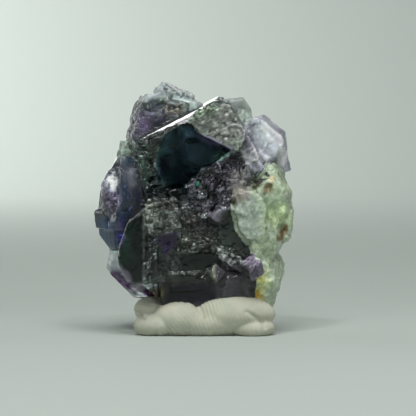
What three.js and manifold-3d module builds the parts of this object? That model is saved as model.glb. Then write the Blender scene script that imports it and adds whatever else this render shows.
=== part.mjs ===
// Phantom fluorite cube specimen pressed into a pad of mineral putty.
// Millimetres, +Z up, the viewer stands at -Y. The origin is the middle of the putty's flat underside.
import * as THREE from "three";
import { ConvexGeometry } from "three/addons/geometries/ConvexGeometry.js";
import { mergeVertices } from "three/addons/utils/BufferGeometryUtils.js";
import Module from "manifold-3d";

const wasm = await Module();
wasm.setup();

// Driving dimensions
const EDGE_BEVEL = 0.22; // worn edge of a large crystal
const SEAT_GAP = 0.3; // gap between the crystal and the putty it is pressed into
const SIDE_LUMP_DETAIL = 4; // fineness of the lumps of massive fluorite
const REAR_LUMP_DETAIL = 2;
const PIT_DETAIL = 1;
const LOBE_DETAIL = 3; // fineness of the putty lobes
const BOSS_DETAIL = 2; // fineness of the worn boss
const LUMP_ROUGHNESS = 0.11; // unevenness of the massive fluorite, share of its radius
const BOSS_ROUGHNESS = 0.05; // unevenness of the worn boss
const PIT_ROUGHNESS = 0.2; // unevenness of the pits in it
const LOBE_ROUGHNESS = 0.03; // unevenness of the kneaded putty
const STEP_HEIGHT = [0.12, 0.45]; // height of growth steps on crystal faces
const STEP_SHARE = [0.22, 0.62]; // size of a growth step, share of the face
const CORNER_LOSS = 0.42; // most that a corner of a step or chip is drawn in, share of its half size

// Large crystals: middle, edge lengths, turn in degrees (tilt about X, roll about Y, yaw about Z), number of
// growth steps, and flat breaks as a point on the break with the outward direction of the piece that came off
const LARGE_CRYSTALS = {
  main_cube: {
    at: [0, 1.1, 24.2],
    size: [13.6, 12.8, 13.6],
    turn: [-1, -27.3, 2],
    steps: 5,
    breaks: [[[2.6, 1.0, 32.3], [0.42, -0.06, 0.9]], [[8.2, -4.0, 21.6], [0.7, -0.6, -0.4]]],
  },
  main_left: { at: [-6.2, 0.3, 22.6], size: [6.4, 10.2, 9.8], turn: [0, -12, 7], steps: 6 },
  lower_cube: {
    at: [-5.9, -1.9, 12.6],
    size: [14.8, 10.4, 10.6],
    turn: [0, 0, 20],
    steps: 0,
    breaks: [
      [[-8.3, -8.3, 12.6], [-0.69, -0.72, 0]],
      [[-9.5, -7.1, 16.7], [-0.59, 0.1, 0.81]],
      [[-11.2, -5.5, 14.2], [-0.93, 0.15, 0.37]],
      [[-11.9, -4.8, 11.0], [-1, 0, 0]],
      [[-11.2, -5.5, 8.3], [-0.88, 0.1, -0.48]],
      [[-11.9, -1.0, 11.0], [-0.8, 0.6, 0]],
      [[2.0, -5.6, 16.2], [0.55, -0.5, 0.75]],
    ],
  },
  right_cube: { at: [4.0, 0.2, 13.6], size: [8.8, 9.8, 9.4], turn: [2, 4, -8], steps: 4 },
  foot: { at: [0.2, 0.2, 6.4], size: [13.0, 11.2, 5.6], turn: [6, -2, 4], steps: 2 },
  upper_left: {
    at: [-6.6, 2.4, 29.4],
    size: [6.6, 7.2, 6.6],
    turn: [-4, 15, 10],
    steps: 6,
    breaks: [[[-9.3, 1.0, 31.8], [-0.81, -0.1, 0.58]]],
  },
  upper_back: { at: [-3.7, 3.6, 30.4], size: [5.0, 6.0, 5.2], turn: [0, 17, -6], steps: 3 },
  left_block: {
    at: [-11.3, 0.2, 18.4],
    size: [4.6, 6.4, 8.4],
    turn: [0, 6, 30],
    steps: 4,
    breaks: [[[-14.2, 1.0, 20.8], [-0.92, 0.1, 0.38]], [[-12.6, -3.0, 15.2], [-0.5, -0.6, -0.6]]],
  },
  left_shoulder: {
    at: [-10.9, 1.2, 22.2],
    size: [4.2, 6.2, 4.6],
    turn: [0, 10, 22],
    steps: 3,
    breaks: [[[-12.9, 1.0, 23.2], [-0.86, 0, 0.51]]],
  },
  left_lower: {
    at: [-11.6, 2.6, 14.3],
    size: [4.8, 6.0, 5.2],
    turn: [0, -4, 26],
    steps: 3,
    breaks: [[[-14.3, 2.0, 12.8], [-0.75, 0, -0.65]]],
  },
  left_link: { at: [-8.8, 1.8, 18.4], size: [5.0, 7.6, 9.0], turn: [0, 5, 14], steps: 0 },
  clear_cube: {
    at: [-10.2, 4.0, 8.4],
    size: [7.2, 6.4, 7.4],
    turn: [0, 3, 12],
    steps: 2,
    breaks: [[[-11.3, 3.0, 6.2], [-0.7, 0, -0.7]], [[-13.4, 3.0, 11.0], [-0.97, 0, 0.2]]],
  },
  lilac_cube: {
    at: [8.2, 0.9, 26.5],
    size: [5.8, 7.0, 5.9],
    turn: [0, -50, -10],
    steps: 3,
    breaks: [[[11.5, 0.6, 26.0], [0.98, -0.1, 0.16]], [[8.2, 0.6, 30.3], [0.1, -0.1, 1]]],
  },
  lilac_side: { at: [10.2, 1.4, 24.0], size: [2.2, 5.0, 3.6], turn: [0, -12, -20], steps: 2 },
  pale_slab: {
    at: [4.5, 4.3, 30.5],
    size: [4.2, 3.2, 4.4],
    turn: [4, -9, 8],
    steps: 3,
    breaks: [[[6.2, 4.0, 31.9], [0.8, 0, 0.6]]],
  },
  rear_upper: { at: [-2.6, 6.4, 22.6], size: [8.4, 6.6, 9.0], turn: [6, 14, 18], steps: 3 },
  rear_left: { at: [-7.6, 5.2, 14.6], size: [6.4, 7.2, 7.0], turn: [-5, -9, 28], steps: 3 },
  rear_right: { at: [3.4, 6.9, 15.0], size: [7.0, 5.6, 7.2], turn: [4, 20, -16], steps: 3 },
};

// Small crystals: middle, edge length, turn
const SMALL_CRYSTALS = [
  [[-5.6, 1.6, 33.6], [2.2, 2.6, 2.2], [10, 38, 12]],
  [[-4.5, 2.4, 33.0], [2.8, 3.0, 2.8], [0, 30, -8]],
  [[-3.2, 3.2, 32.4], [2.9, 3.0, 2.9], [8, 14, 20]],
  [[-2.4, 3.0, 31.2], [2.4, 2.6, 2.6], [0, 24, 10]],
  [[-7.0, 0.6, 32.2], [3.4, 3.8, 1.6], [-14, -24, 8]],
  [[-8.5, 0.4, 30.6], [1.6, 2.6, 2.2], [0, 12, 14]],
  [[-11.1, 2.0, 25.5], [1.5, 2.6, 2.6], [0, 12, 18]],
  [[-13.8, 0.6, 15.9], [2.0, 3.4, 2.6], [0, -10, 30]],
  [[-12.9, -0.8, 20.9], [1.4, 3.0, 2.2], [6, 24, 34]],
  [[6.6, -6.2, 9.4], [2.5, 2.6, 2.4], [16, -28, 38]],
  [[3.6, -4.5, 11.4], [3.6, 2.6, 0.9], [14, 22, -10]],
  [[4.2, -4.6, 10.6], [3.8, 3.0, 0.9], [18, 30, -16]],
  [[5.0, -4.7, 9.9], [3.4, 3.2, 0.9], [22, 36, -8]],
  [[2.0, -5.6, 16.8], [1.9, 1.7, 1.9], [24, 30, 20]],
  [[1.7, -5.4, 8.5], [2.0, 1.6, 2.0], [-20, 42, 10]],
  [[4.6, -4.6, 20.4], [2.4, 2.4, 2.8], [10, 12, -22]],
  [[6.0, -3.9, 23.0], [2.6, 2.6, 2.2], [0, -20, 16]],
];

// A crystal worn to a rounded boss on the left: middle and radii
const WORN_BOSS = [[-12.5, -1.0, 19.1], [1.9, 2.4, 3.2]];

// Flat plates grown on the front: outline as (x, z), then front and back y
const FRONT_PLATES = {
  etched_slab: {
    outline: [
      [-0.8, 31.5], [1.9, 32.6], [3.7, 31.9], [5.7, 28.2],
      [5.2, 26.0], [4.2, 25.6], [-0.8, 28.0], [-2.3, 29.8],
    ],
    front: -6.5,
    back: -3.0,
  },
  tongue: {
    outline: [
      [4.7, 20.2], [4.3, 17.4], [4.9, 14.7], [6.1, 13.1],
      [7.3, 13.3], [8.1, 14.7], [8.6, 17.4], [7.9, 20.2],
    ],
    front: -6.4,
    back: -2.0,
  },
};

// Steps that can be told apart, in the crystal's own frame: face axis and side, from and to along the first
// face direction, from and to along the second one, height
const OWN_STEPS = {
  lower_cube: [
    { face: [1, -1], first: [-3.9, 1.2], second: [1.0, 5.0], height: 0.45 },
    { face: [1, -1], first: [-2.9, 0.9], second: [2.4, 5.5], height: 0.75 },
    { face: [1, -1], first: [1.0, 6.9], second: [-1.3, 1.1], height: 0.7 },
    { face: [1, -1], first: [1.9, 6.2], second: [-0.8, 0.7], height: 0.95 },
    { face: [1, -1], first: [-4.1, -2.3], second: [-4.6, 1.4], height: 0.35 },
    { face: [1, -1], first: [-1.9, 7.1], second: [-5.2, -3.6], height: 0.5 },
    { face: [1, -1], first: [2.7, 4.9], second: [1.9, 4.2], height: 0.4 },
    { face: [2, 1], first: [-3.8, 0.5], second: [-5.0, -2.6], height: 0.75 },
    { face: [2, 1], first: [-2.7, 1.9], second: [-3.4, 0.6], height: 0.45 },
    { face: [2, 1], first: [-0.5, 4.1], second: [-4.8, -3.4], height: 0.6 },
  ],
  foot: [
    { face: [1, -1], first: [-5.8, 0.9], second: [0.3, 2.3], height: 0.5 },
    { face: [1, -1], first: [1.6, 6.2], second: [-2.4, 2.6], height: 0.35 },
  ],
};

// The hollow on the front of the main cube where a piece cleaved out: (x, depth behind the face, z)
const HOLLOW_FACE_Y = -5.5;
const HOLLOW = [
  [-6.4, 0.35, 25.6], [-5.3, 0.4, 27.9], [-2.4, 1.5, 29.6],
  [4.1, 1.9, 26.0], [-2.8, 1.9, 20.6], [-5.8, 0.5, 20.0],
];

// Massive green fluorite: middle and radii
const SIDE_LUMPS = [
  [[8.2, 0.4, 19.6], [3.8, 6.4, 4.6]],
  [[9.8, 0.8, 16.4], [2.7, 5.6, 4.2]],
  [[7.9, 0.3, 12.6], [3.1, 6.2, 4.6]],
  [[8.4, 0.4, 8.2], [2.7, 5.4, 3.6]],
  [[7.4, 0.2, 5.8], [2.9, 4.6, 2.6]],
];
const REAR_LUMPS = [
  [[6.2, 5.4, 20.6], [5.0, 4.2, 5.6]],
  [[1.6, 6.0, 9.0], [6.6, 3.6, 4.4]],
  [[0.6, 5.2, 27.0], [5.2, 4.4, 4.6]],
];
const MASSIVE_PITS = [
  [[11.2, -3.4, 14.4], 1.1],
  [[7.4, -6.0, 21.5], 0.9],
  [[8.9, -6.1, 20.6], 0.75],
  [[10.6, -4.0, 10.6], 0.8],
];

// Rough broken ground between the main cube and the lower cube: middle, half spread, chips and their size
const BROKEN_GROUND = {
  at: [2.4, -5.2, 20.6],
  spread: [3.2, 0.3, 2.8],
  count: 17,
  size: [0.7, 1.9],
  seed: 23,
};
// Etch pits on the left part of the main cube's front
const ETCH_PITS = {
  at: [-6.6, -4.9, 23.6],
  spread: [1.6, 0.2, 4.0],
  count: 8,
  size: [0.5, 1.1],
  seed: 5,
};

// Lobes of the putty pad: middle and radii
const PUTTY_LOBES = [
  [[0, -0.4, 1.7], [9.0, 7.4, 3.1]],
  [[4.2, -4.0, 2.9], [5.7, 3.9, 2.55]],
  [[-3.3, -4.4, 2.2], [4.0, 3.6, 2.6]],
  [[-6.7, -4.2, 1.3], [3.1, 3.5, 1.9]],
  [[-7.5, -1.6, 3.3], [2.3, 3.2, 1.8]],
  [[6.7, -4.5, 1.0], [3.1, 3.3, 1.6]],
  [[-3.4, 3.8, 2.2], [5.4, 4.0, 2.9]],
  [[4.6, 3.6, 2.3], [5.0, 3.9, 2.9]],
];

// Repeatable scatter of numbers between 0 and 1
function scatter(seed) {
  let state = seed;
  return (low = 0, high = 1) => {
    state = (Math.imul(state, 1664525) + 1013904223) >>> 0;
    return low + ((high - low) * state) / 4294967296;
  };
}

const asRadians = THREE.MathUtils.degToRad;

function placement(at, turn) {
  const euler = new THREE.Euler(asRadians(turn[0]), asRadians(turn[1]), asRadians(turn[2]), "ZXY");
  const matrix = new THREE.Matrix4().makeRotationFromEuler(euler);
  matrix.setPosition(at[0], at[1], at[2]);
  return matrix;
}

function solidOf(geometry, matrix) {
  const bare = geometry.clone();
  bare.deleteAttribute("normal");
  bare.deleteAttribute("uv");
  if (matrix) {
    bare.applyMatrix4(matrix);
  }
  const merged = mergeVertices(bare, 1e-4);
  const mesh = new wasm.Mesh({
    numProp: 3,
    vertProperties: new Float32Array(merged.attributes.position.array),
    triVerts: new Uint32Array(merged.index.array),
  });
  return new wasm.Manifold(mesh);
}

function joined(solids) {
  return solids.reduce((whole, solid) => whole.add(solid));
}

// A cube with narrow worn edges
function wornCube(size, bevel) {
  const half = size.map((length) => length / 2);
  const points = [];
  for (const sx of [-1, 1]) {
    for (const sy of [-1, 1]) {
      for (const sz of [-1, 1]) {
        for (let flat = 0; flat < 3; flat += 1) {
          const corner = half.map((length, axis) => (axis === flat ? length : length - bevel));
          points.push(new THREE.Vector3(sx * corner[0], sy * corner[1], sz * corner[2]));
        }
      }
    }
  }
  return new ConvexGeometry(points);
}

// A block with four uneven upright edges along one axis
function unevenBlock(lengths, axis, next) {
  const [one, two] = [0, 1, 2].filter((other) => other !== axis);
  const points = [];
  for (const s of [-1, 1]) {
    for (const t of [-1, 1]) {
      const corner = [0, 0, 0];
      corner[one] = (s * lengths[one] * (1 - next(0, CORNER_LOSS))) / 2;
      corner[two] = (t * lengths[two] * (1 - next(0, CORNER_LOSS))) / 2;
      for (const end of [-1, 1]) {
        corner[axis] = (end * lengths[axis]) / 2;
        points.push(new THREE.Vector3(...corner));
      }
    }
  }
  return new ConvexGeometry(points);
}

// A low step on one face of a crystal: sizes along the two face directions, place on the face, height
function faceStep(matrix, size, axis, side, across, middle, height, next) {
  const others = [0, 1, 2].filter((other) => other !== axis);
  const sunk = 0.4;
  const lengths = [0, 0, 0];
  const centre = [0, 0, 0];
  lengths[axis] = height + sunk;
  centre[axis] = side * (size[axis] / 2 + (height - sunk) / 2);
  others.forEach((other, n) => {
    lengths[other] = across[n];
    centre[other] = middle[n];
  });
  const local = new THREE.Matrix4().makeTranslation(centre[0], centre[1], centre[2]);
  return solidOf(unevenBlock(lengths, axis, next), matrix.clone().multiply(local));
}

function ownStep(matrix, size, seed) {
  const next = scatter(seed);
  return ({ face, first, second, height }) => {
    const across = [first[1] - first[0], second[1] - second[0]];
    const middle = [(first[0] + first[1]) / 2, (second[0] + second[1]) / 2];
    return faceStep(matrix, size, face[0], face[1], across, middle, height, next);
  };
}

function scatteredSteps(matrix, size, count, seed) {
  const next = scatter(seed);
  const steps = [];
  for (let n = 0; n < count; n += 1) {
    const axis = Math.floor(next(0, 3));
    const side = next() < 0.5 ? -1 : 1;
    const faces = [0, 1, 2].filter((other) => other !== axis);
    const across = faces.map((face) => size[face] * next(STEP_SHARE[0], STEP_SHARE[1]));
    const middle = faces.map((face, k) => (size[face] - across[k]) * next(-0.5, 0.5));
    const height = next(STEP_HEIGHT[0], STEP_HEIGHT[1]);
    steps.push(faceStep(matrix, size, axis, side, across, middle, height, next));
  }
  return steps;
}

// Everything beyond a flat break
function beyond(point, direction) {
  const reach = 40;
  const outward = new THREE.Vector3(...direction).normalize();
  const turn = new THREE.Quaternion().setFromUnitVectors(new THREE.Vector3(0, 0, 1), outward);
  const middle = new THREE.Vector3(...point).addScaledVector(outward, reach / 2);
  const matrix = new THREE.Matrix4().compose(middle, turn, new THREE.Vector3(1, 1, 1));
  return solidOf(new THREE.BoxGeometry(reach, reach, reach), matrix);
}

function brokenAlong(solid, breaks) {
  return breaks.reduce((whole, [point, direction]) => whole.subtract(beyond(point, direction)), solid);
}

function frontPlate({ outline, front, back }) {
  const points = [];
  for (const [x, z] of outline) {
    points.push(new THREE.Vector3(x, front, z), new THREE.Vector3(x, back, z));
  }
  return solidOf(new ConvexGeometry(points));
}

// Smooth unevenness of a rounded lump, from a few slow waves
function unevenness(direction, seed) {
  const next = scatter(seed);
  let height = 0;
  for (let wave = 0; wave < 9; wave += 1) {
    const across = new THREE.Vector3(next(-1, 1), next(-1, 1), next(-1, 1)).normalize();
    height += Math.sin(direction.dot(across) * next(3, 11) + next(0, 6.3)) / 3;
  }
  return height;
}

function lump(at, radii, roughness, seed, detail) {
  const geometry = new THREE.IcosahedronGeometry(1, detail);
  const position = geometry.attributes.position;
  const point = new THREE.Vector3();
  for (let n = 0; n < position.count; n += 1) {
    point.fromBufferAttribute(position, n).normalize();
    const reach = 1 + roughness * unevenness(point, seed);
    point.multiplyScalar(reach).multiply(new THREE.Vector3(...radii)).add(new THREE.Vector3(...at));
    position.setXYZ(n, point.x, point.y, point.z);
  }
  return solidOf(geometry);
}

// Chips standing at odd angles, or pits of the same kind
function chips({ at, spread, count, size, seed }) {
  const next = scatter(seed);
  const found = [];
  for (let n = 0; n < count; n += 1) {
    const middle = at.map((value, axis) => value + spread[axis] * next(-1, 1));
    const edges = [next(size[0], size[1]), next(size[0], size[1]), next(size[0], size[1])];
    const turn = [next(-18, 18), next(-45, -8), next(-22, 22)];
    found.push(solidOf(unevenBlock(edges, 1, next), placement(middle, turn)));
  }
  return found;
}

// Crystals
const crystals = {};
Object.entries(LARGE_CRYSTALS).forEach(([name, { at, size, turn, steps, breaks = [] }], n) => {
  const matrix = placement(at, turn);
  const body = solidOf(wornCube(size, EDGE_BEVEL), matrix);
  const scattered = scatteredSteps(matrix, size, steps, 101 + 17 * n);
  const own = (OWN_STEPS[name] ?? []).map(ownStep(matrix, size, 301 + 13 * n));
  crystals[name] = brokenAlong(joined([body, ...scattered, ...own]), breaks);
});

// The cleaved hollow, open toward the viewer
const hollowPoints = [];
for (const [x, depth, z] of HOLLOW) {
  hollowPoints.push(new THREE.Vector3(x, HOLLOW_FACE_Y + depth, z));
  hollowPoints.push(new THREE.Vector3(x, HOLLOW_FACE_Y - 4, z));
}
const hollow = solidOf(new ConvexGeometry(hollowPoints));
const pits = joined(chips(ETCH_PITS));
const mainFace = joined([crystals.main_cube, crystals.main_left]).subtract(hollow).subtract(pits);
delete crystals.main_cube;
delete crystals.main_left;

const plates = Object.values(FRONT_PLATES).map(frontPlate);
const small = SMALL_CRYSTALS.map(([at, size, turn]) => {
  return solidOf(wornCube(size, EDGE_BEVEL / 2), placement(at, turn));
});
const boss = lump(WORN_BOSS[0], WORN_BOSS[1], BOSS_ROUGHNESS, 61, BOSS_DETAIL);
const broken = chips(BROKEN_GROUND);
const sideLumps = SIDE_LUMPS.map(([at, radii], n) => {
  return lump(at, radii, LUMP_ROUGHNESS, 41 + n, SIDE_LUMP_DETAIL);
});
const rearLumps = REAR_LUMPS.map(([at, radii], n) => {
  return lump(at, radii, LUMP_ROUGHNESS, 46 + n, REAR_LUMP_DETAIL);
});
const massivePits = MASSIVE_PITS.map(([at, radius], n) => {
  return lump(at, [radius, radius, radius], PIT_ROUGHNESS, 71 + n, PIT_DETAIL);
});
const massive = joined([...sideLumps, ...rearLumps]).subtract(joined(massivePits));

const cluster = joined([mainFace, ...Object.values(crystals), ...plates, ...small, ...broken, boss, massive]);

// Putty pad, flat underneath, with a seat pressed by the cluster
const lobes = PUTTY_LOBES.map(([at, radii], n) => lump(at, radii, LOBE_ROUGHNESS, 83 + n, LOBE_DETAIL));
let pad = joined(lobes);
pad = pad.subtract(beyond([0, 0, 0], [0, 0, -1]));
const seatShifts = [
  [0, 0, -SEAT_GAP], [SEAT_GAP, 0, 0], [-SEAT_GAP, 0, 0], [0, SEAT_GAP, 0], [0, -SEAT_GAP, 0],
];
for (const shift of seatShifts) {
  pad = pad.subtract(cluster.translate(shift));
}

// Only the largest body of a solid is kept, so that no loose crumbs remain
function largestBody(solid) {
  return solid.decompose().reduce((best, body) => (body.volume() > best.volume() ? body : best));
}

function meshOf(name, solid, material) {
  const { vertProperties, triVerts, numProp } = solid.getMesh();
  const geometry = new THREE.BufferGeometry();
  const positions = new Float32Array((vertProperties.length / numProp) * 3);
  for (let n = 0; n < positions.length / 3; n += 1) {
    positions.set(vertProperties.subarray(n * numProp, n * numProp + 3), n * 3);
  }
  geometry.setAttribute("position", new THREE.BufferAttribute(positions, 3));
  geometry.setIndex(new THREE.BufferAttribute(new Uint32Array(triVerts), 1));
  geometry.computeVertexNormals();
  const mesh = new THREE.Mesh(geometry, material);
  mesh.name = name;
  return mesh;
}

const fluorite = new THREE.MeshStandardMaterial({ color: 0x5a6668, roughness: 0.2, metalness: 0 });
const clay = new THREE.MeshStandardMaterial({ color: 0xc6c7b5, roughness: 0.9, metalness: 0 });

const specimen = new THREE.Group();
specimen.name = "phantom_fluorite_specimen";
specimen.add(meshOf("fluorite_cluster", largestBody(cluster), fluorite));
specimen.add(meshOf("putty", largestBody(pad), clay));

export default specimen;
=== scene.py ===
import math

import bmesh
import bpy
import numpy as np
from mathutils import Matrix, Vector


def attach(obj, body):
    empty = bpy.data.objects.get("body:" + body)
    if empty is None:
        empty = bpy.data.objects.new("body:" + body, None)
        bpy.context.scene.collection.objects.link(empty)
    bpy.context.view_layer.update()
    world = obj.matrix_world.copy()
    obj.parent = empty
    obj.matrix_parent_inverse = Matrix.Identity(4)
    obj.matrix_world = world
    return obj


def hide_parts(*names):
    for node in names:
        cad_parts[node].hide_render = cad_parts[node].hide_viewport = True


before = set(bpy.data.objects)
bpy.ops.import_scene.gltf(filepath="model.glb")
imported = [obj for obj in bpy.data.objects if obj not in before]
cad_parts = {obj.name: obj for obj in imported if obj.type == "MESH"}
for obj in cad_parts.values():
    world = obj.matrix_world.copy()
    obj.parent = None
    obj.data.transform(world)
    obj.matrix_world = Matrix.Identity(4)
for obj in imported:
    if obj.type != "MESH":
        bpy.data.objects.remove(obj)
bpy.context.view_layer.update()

MM = 0.001
FAR = 1e9

# Viewing angle, and the size of the skin's faces in millimetres
CAMERA_RISE = math.radians(5.0)
SKIN_EDGE = 0.208
# Wear: share of the way that a point goes to the middle of its neighbours, and how often
CRYSTAL_WEAR = 0.35
MASSIVE_WEAR = 0.6
WEAR_ROUNDS = 3
# Etching: size of its facets in millimetres, their share, seed; and how far it lies below the face
FACET_SIZES = [(1.7, 0.36, 11), (0.8, 0.55, 31)]
ETCH_DEPTH = 0.15
# Bends in the rows of facets: size and reach in millimetres, seeds
DRIFT_SIZE = 1.9
DRIFT_REACH = 0.35
DRIFT_SEEDS = (51, 52, 53)
# Surface of the massive fluorite: lumps and chips (size, height, seed), and how much of the lumps shows
MASSIVE_LUMPS = [(2.2, 0.5, 16), (1.1, 0.35, 17), (0.5, 0.2, 18)]
MASSIVE_CHIPS = [(1.4, 0.16, 71), (0.6, 0.05, 91)]
LUMP_HEIGHT = 0.34
# Rise of a point over its neighbours, in millimetres, that counts as a full edge
EDGE_BEND = 0.035
# Painted light: what a full edge adds to the tint as painted highlight and takes from the clearness, and
# what a full crease takes from the tint as painted shade
EDGE_HIGHLIGHT_GAIN = 0.7
EDGE_FROST = 0.25
CREASE_SHADE_LOSS = 0.55
# How much of that shows on massive fluorite, on smooth crystal, and for each step of etching
MASSIVE_EDGE_HIGHLIGHT = 0.2
MASSIVE_CREASE_SHADE = 0.3
SMOOTH_EDGE_HIGHLIGHT = 0.08
ETCHED_EDGE_HIGHLIGHT = 3
ETCHED_CREASE = 4
# Clouds of colour (size, share, seed), their strength, the lean to purple or green, and the palest tint
CLOUDS = [(2.6, 0.8, 41), (1.0, 0.5, 42)]
CRYSTAL_CLOUD = 0.55
MASSIVE_CLOUD = 0.25
LEAN_SIZE = 3.2
LEAN_SEED = 43
LEAN_COLOUR = [0.05, -0.05, 0.08]
PALEST = 0.97

# Slab on the right of the main cube's front: where it starts along the edge and how far it stands out
SLAB_START = 2.2
SLAB_RISE = 1.29
# Bevel on the main cube's upper front edge: slope between the two faces in degrees, width in millimetres at
# places along the edge, how far in and out it reaches, and its glassy part as seen from the front
BEVEL_SLOPE = 30
BEVEL_WIDTHS = [(-6.8, 0.65), (2.2, 2.41), (2.3, 0.75), (6.8, 1.63)]
BEVEL_IN = 1.2
BEVEL_OUT = 0.3
BEVEL_GLASS = [
    (-9.4, 26.9), (-5.1, 29.6), (-2.4, 31.4), (1.3, 33.2), (1.8, 32.2), (1.2, 31.9), (0.4, 31.4),
    (-0.3, 30.9), (-1.0, 30.3), (-1.1, 29.8), (-2.3, 29.4), (-2.5, 28.9), (-3.6, 28.5), (-5.2, 28.4),
    (-7.3, 27.3), (-9.3, 26.4),
]
# Jags in the border of the glassy part: depth and size in millimetres, seed
JAG_DEPTH = 0.25
JAG_SIZE = 0.8
JAG_SEED = 61
# What belongs to the main cube's upper face: how squarely it faces up, and how near it lies in millimetres
FACE_SQUARE = 0.8
FACE_NEAR = 0.35

# Shell-shaped break on the slab as seen from the front: middle, radii of its ripples, their height and
# width, and the stretch over which they fade to the lower left
SHELL_MIDDLE = (4.3, 27.3)
SHELL_RADII = [0.7, 1.4]
SHELL_RISE = 0.13
SHELL_WIDTH = 0.17
SHELL_FADE = 1.5

# Crystals of the cluster: middle, edge lengths, turn in degrees (tilt, roll, yaw), look
CRYSTALS = {
    "main_cube": ((0, 1.1, 24.2), (13.6, 12.8, 13.6), (-1, -27.3, 2), "etched"),
    "main_left": ((-6.2, 0.3, 22.6), (6.4, 10.2, 9.8), (0, -12, 7), "pitted"),
    "lower_cube": ((-5.9, -1.9, 12.6), (14.8, 10.4, 10.6), (0, 0, 20), "lower"),
    "right_cube": ((4.0, 0.2, 13.6), (8.8, 9.8, 9.4), (2, 4, -8), "smoky"),
    "foot": ((0.2, 0.2, 6.4), (13.0, 11.2, 5.6), (6, -2, 4), "foot"),
    "upper_left": ((-6.6, 2.4, 29.4), (6.6, 7.2, 6.6), (-4, 15, 10), "violet"),
    "upper_back": ((-3.7, 3.6, 30.4), (5.0, 6.0, 5.2), (0, 17, -6), "clear"),
    "left_block": ((-11.3, 0.2, 18.4), (4.6, 6.4, 8.4), (0, 6, 30), "blue"),
    "left_shoulder": ((-10.9, 1.2, 22.2), (4.2, 6.2, 4.6), (0, 10, 22), "blue"),
    "left_lower": ((-11.6, 2.6, 14.3), (4.8, 6.0, 5.2), (0, -4, 26), "blue"),
    "left_link": ((-8.8, 1.8, 18.4), (5.0, 7.6, 9.0), (0, 5, 14), "indigo"),
    "clear_cube": ((-10.2, 4.0, 8.4), (7.2, 6.4, 7.4), (0, 3, 12), "clear"),
    "lilac_cube": ((8.2, 0.9, 26.5), (5.8, 7.0, 5.9), (0, -50, -10), "lilac"),
    "lilac_side": ((10.2, 1.4, 24.0), (2.2, 5.0, 3.6), (0, -12, -20), "lilac"),
    "pale_slab": ((4.5, 4.3, 30.5), (4.2, 3.2, 4.4), (4, -9, 8), "pale"),
    "rear_upper": ((-2.6, 6.4, 22.6), (8.4, 6.6, 9.0), (6, 14, 18), "etched"),
    "rear_left": ((-7.6, 5.2, 14.6), (6.4, 7.2, 7.0), (-5, -9, 28), "blue"),
    "rear_right": ((3.4, 6.9, 15.0), (7.0, 5.6, 7.2), (4, 20, -16), "smoky"),
    "top_a": ((-5.6, 1.6, 33.6), (2.2, 2.6, 2.2), (10, 38, 12), "glittering"),
    "top_b": ((-4.5, 2.4, 33.0), (2.8, 3.0, 2.8), (0, 30, -8), "glittering"),
    "top_c": ((-3.2, 3.2, 32.4), (2.9, 3.0, 2.9), (8, 14, 20), "glittering"),
    "top_d": ((-2.4, 3.0, 31.2), (2.4, 2.6, 2.6), (0, 24, 10), "glittering"),
    "top_plate": ((-7.0, 0.6, 32.2), (3.4, 3.8, 1.6), (-14, -24, 8), "pale"),
    "upper_chip": ((-8.5, 0.4, 30.6), (1.6, 2.6, 2.2), (0, 12, 14), "violet"),
    "green_chip": ((-11.1, 2.0, 25.5), (1.5, 2.6, 2.6), (0, 12, 18), "green_chip"),
    "left_chip": ((-13.8, 0.6, 15.9), (2.0, 3.4, 2.6), (0, -10, 30), "blue"),
    "left_facet": ((-12.9, -0.8, 20.9), (1.4, 3.0, 2.2), (6, 24, 34), "blue"),
    "corner_violet": ((6.6, -6.2, 9.4), (2.5, 2.6, 2.4), (16, -28, 38), "corner"),
    "ridge_a": ((3.6, -4.5, 11.4), (3.6, 2.6, 0.9), (14, 22, -10), "streaked"),
    "ridge_b": ((4.2, -4.6, 10.6), (3.8, 3.0, 0.9), (18, 30, -16), "streaked"),
    "ridge_c": ((5.0, -4.7, 9.9), (3.4, 3.2, 0.9), (22, 36, -8), "streaked"),
    "lavender_bit": ((2.0, -5.6, 16.8), (1.9, 1.7, 1.9), (24, 30, 20), "lavender"),
    "green_bit": ((1.7, -5.4, 8.5), (2.0, 1.6, 2.0), (-20, 42, 10), "green_bit"),
    "lilac_bit_a": ((4.6, -4.6, 20.4), (2.4, 2.4, 2.8), (10, 12, -22), "lilac_bit"),
    "lilac_bit_b": ((6.0, -3.9, 23.0), (2.6, 2.6, 2.2), (0, -20, 16), "lilac_bit"),
}
# A crystal worn to a rounded boss on the left: middle and radii
BOSS = ((-12.5, -1.0, 19.1), (1.9, 2.4, 3.2))

# Flat breaks: a point on the break and the direction of what came off
BREAKS = {
    "main_cube": [((2.6, 1.0, 32.3), (0.42, -0.06, 0.9)), ((8.2, -4.0, 21.6), (0.7, -0.6, -0.4))],
    "lower_cube": [
        ((-8.3, -8.3, 12.6), (-0.69, -0.72, 0)),
        ((-9.5, -7.1, 16.7), (-0.59, 0.1, 0.81)),
        ((-11.2, -5.5, 14.2), (-0.93, 0.15, 0.37)),
        ((-11.9, -4.8, 11.0), (-1, 0, 0)),
        ((-11.2, -5.5, 8.3), (-0.88, 0.1, -0.48)),
        ((-11.9, -1.0, 11.0), (-0.8, 0.6, 0)),
        ((2.0, -5.6, 16.2), (0.55, -0.5, 0.75)),
    ],
    "upper_left": [((-9.3, 1.0, 31.8), (-0.81, -0.1, 0.58))],
    "left_block": [((-14.2, 1.0, 20.8), (-0.92, 0.1, 0.38)), ((-12.6, -3.0, 15.2), (-0.5, -0.6, -0.6))],
    "left_shoulder": [((-12.9, 1.0, 23.2), (-0.86, 0, 0.51))],
    "left_lower": [((-14.3, 2.0, 12.8), (-0.75, 0, -0.65))],
    "clear_cube": [((-11.3, 3.0, 6.2), (-0.7, 0, -0.7)), ((-13.4, 3.0, 11.0), (-0.97, 0, 0.2))],
    "lilac_cube": [((11.5, 0.6, 26.0), (0.98, -0.1, 0.16)), ((8.2, 0.6, 30.3), (0.1, -0.1, 1))],
}

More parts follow.
